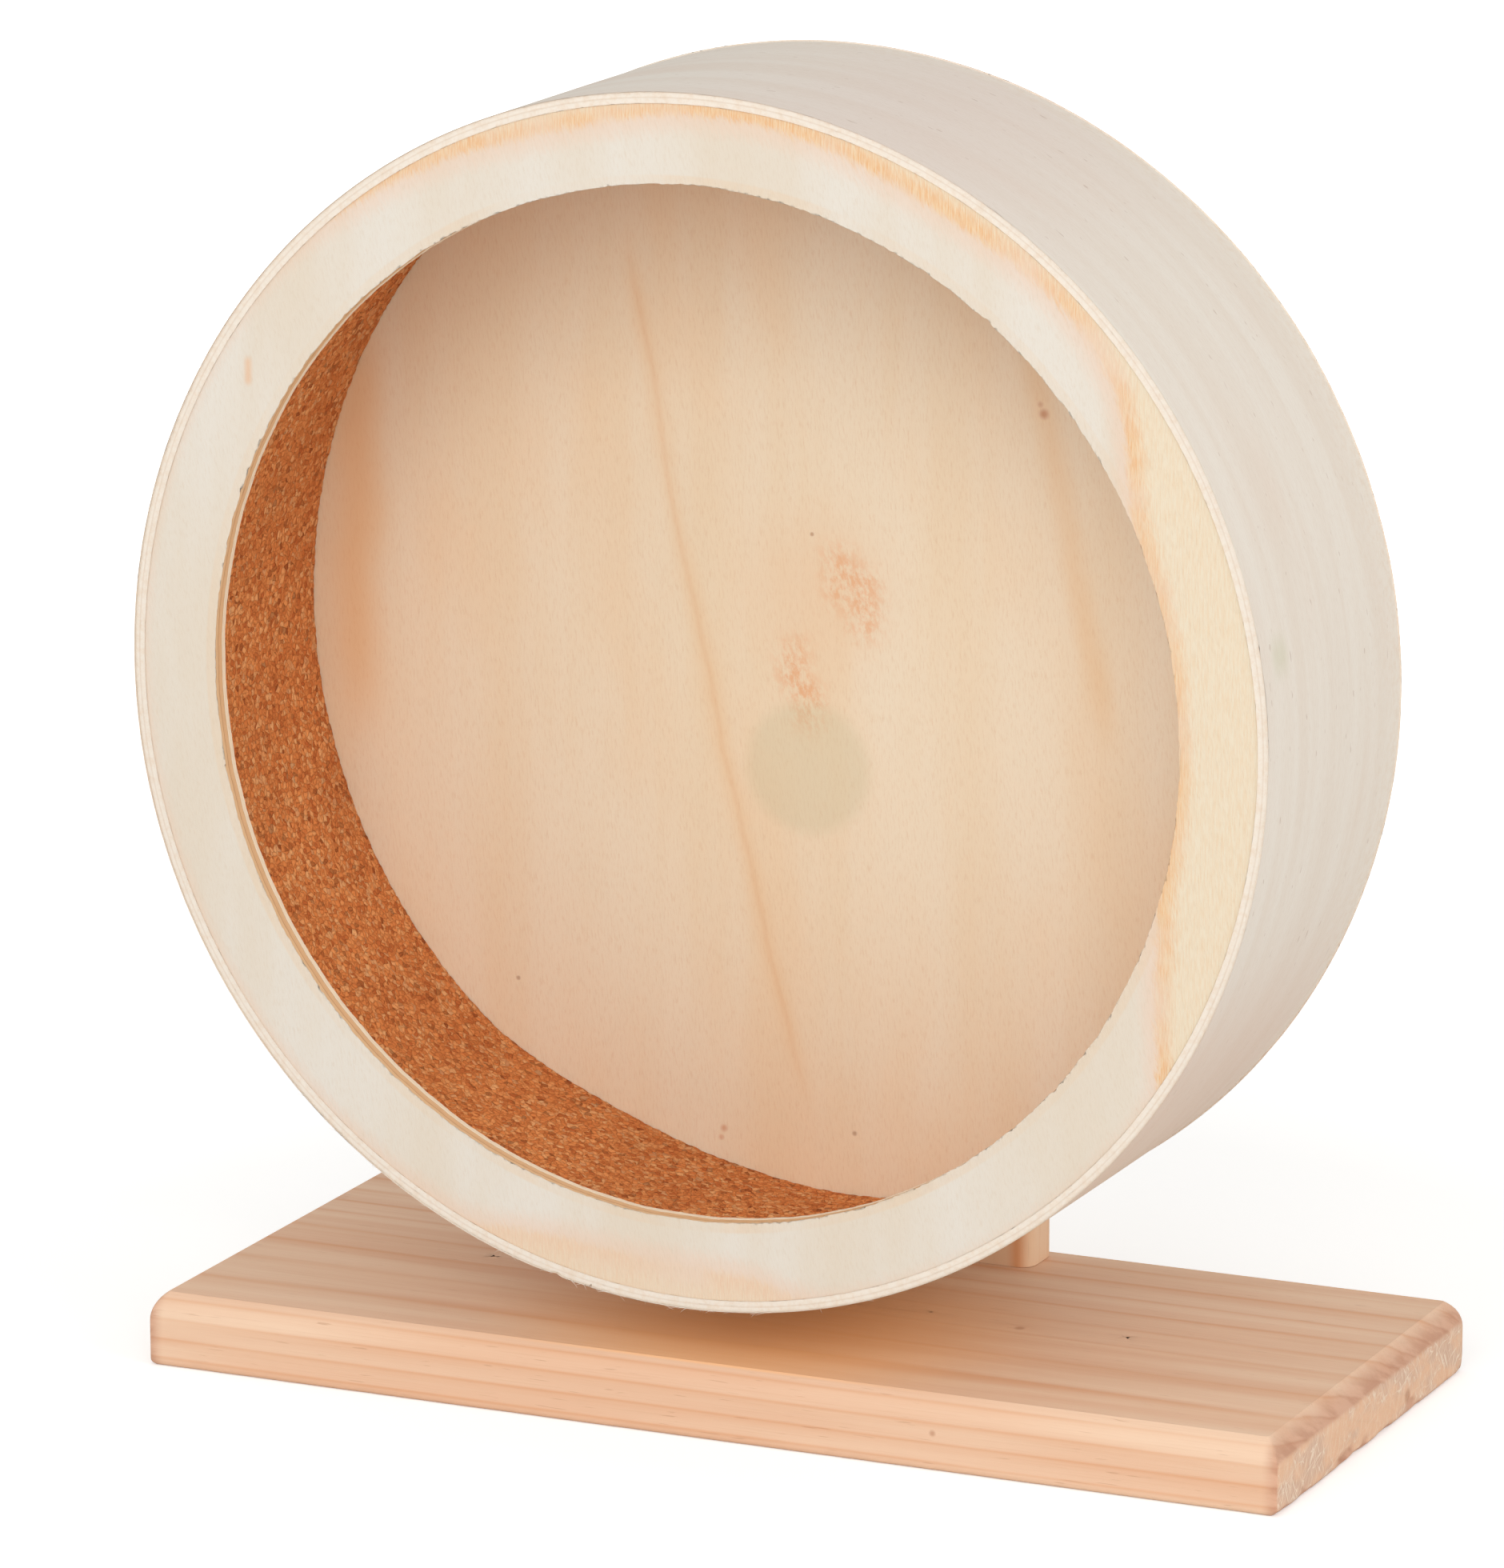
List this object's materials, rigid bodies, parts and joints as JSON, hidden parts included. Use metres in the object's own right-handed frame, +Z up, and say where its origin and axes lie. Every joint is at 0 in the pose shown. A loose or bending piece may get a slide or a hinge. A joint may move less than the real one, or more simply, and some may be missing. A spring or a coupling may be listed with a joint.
{
  "type": "hamster wheel",
  "caption": "Cork-lined plywood running drum with an open front ring and a solid back, turning on ball bearings in a pine upright on a rounded base board.",
  "frame": {"origin": "middle of the base board's underside", "axes": "+Z up, +X to the right seen from the drum's mouth, +Y from the drum's mouth to the upright behind it"},
  "size_m": [0.2847, 0.1292, 0.3105],
  "materials": {
    "base_pine": "satin",
    "upright_pine": "satin",
    "band_plywood": "matte",
    "ring_plywood": "matte",
    "disc_plywood": "matte",
    "cork": "matte",
    "hub_wood": "matte",
    "zinc_steel": "satin",
    "screw_steel": "satin",
    "bearing_steel": "polished",
    "nylon": "matte"
  },
  "bodies": {
    "stand": {"base_board": "base_pine", "upright_board": "upright_pine", "stand_screw_left": "screw_steel", "stand_screw_right": "screw_steel", "front_bearing_outer_ring": "bearing_steel", "rear_bearing_outer_ring": "bearing_steel"},
    "wheel": {"rim_band": "band_plywood", "front_ring": "ring_plywood", "back_disc": "disc_plywood", "cork_lining": "cork", "hub_block": "hub_wood", "hub_screw_1": "screw_steel", "hub_screw_2": "screw_steel", "hub_screw_3": "screw_steel", "axle_bolt": "zinc_steel", "lock_nut": "zinc_steel", "lock_nut_collar": "nylon", "front_spacer": "zinc_steel", "rear_spacer": "zinc_steel", "front_bearing_inner_ring": "bearing_steel", "rear_bearing_inner_ring": "bearing_steel"}
  },
  "joints": [
    {"name": "wheel_spin", "type": "hinge", "parent": "stand", "child": "wheel", "pos_m": [-0.003, 0, 0.1705], "axis": [0, 1, 0], "continuous": true}
  ]
}
